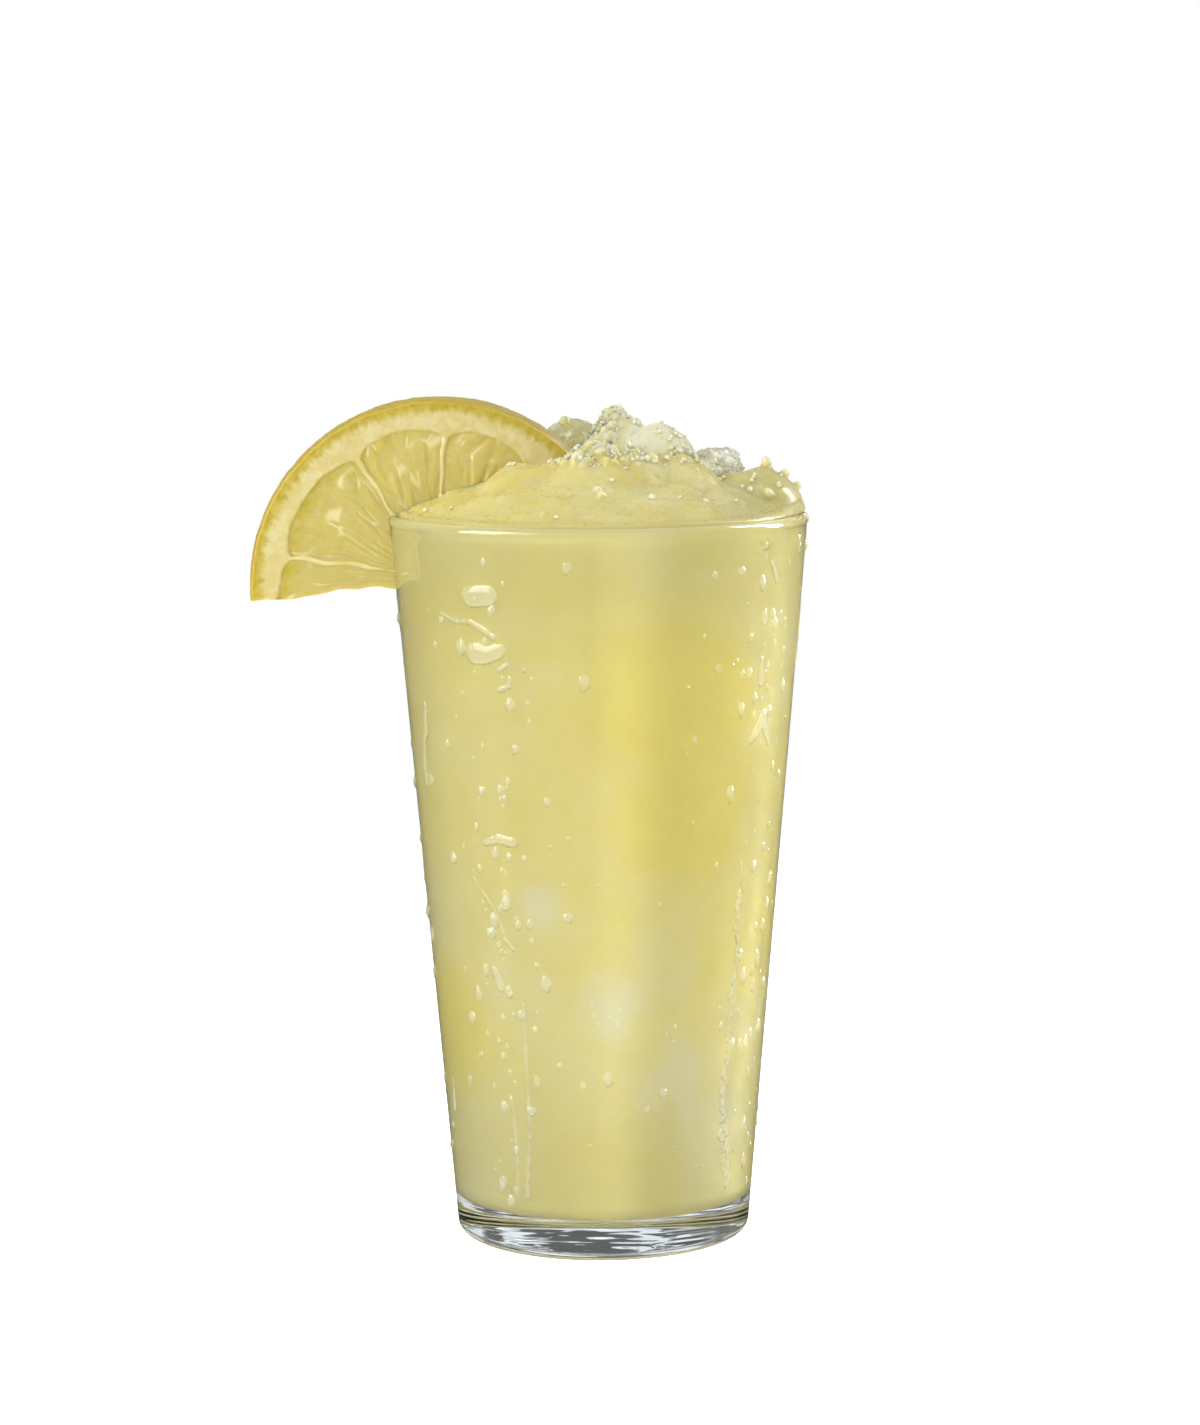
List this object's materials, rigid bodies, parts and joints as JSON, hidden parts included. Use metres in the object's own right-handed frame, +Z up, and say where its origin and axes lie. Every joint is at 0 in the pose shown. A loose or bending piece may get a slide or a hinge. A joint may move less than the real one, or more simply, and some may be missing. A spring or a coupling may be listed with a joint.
{
  "type": "lemon granita in a glass",
  "caption": "Pale lemon granita heaped above the rim of a clear conical tumbler, with a half slice of lemon hung over the rim.",
  "frame": {"origin": "on the tumbler's axis, in the plane of the underside it stands on", "axes": "+Z up along the tumbler's axis, +X away from the lemon slice, -Y towards the side that was pictured"},
  "size_m": [0.1025, 0.077, 0.1554],
  "materials": {
    "glass": "clear, beaded with condensation",
    "lemon_ice": "frosty, translucent, wet",
    "lemon": "waxy peel and wet pulp"
  },
  "bodies": {
    "root": {"glass": "glass", "granita": "lemon_ice", "lemon_slice": "lemon"}
  },
  "joints": []
}
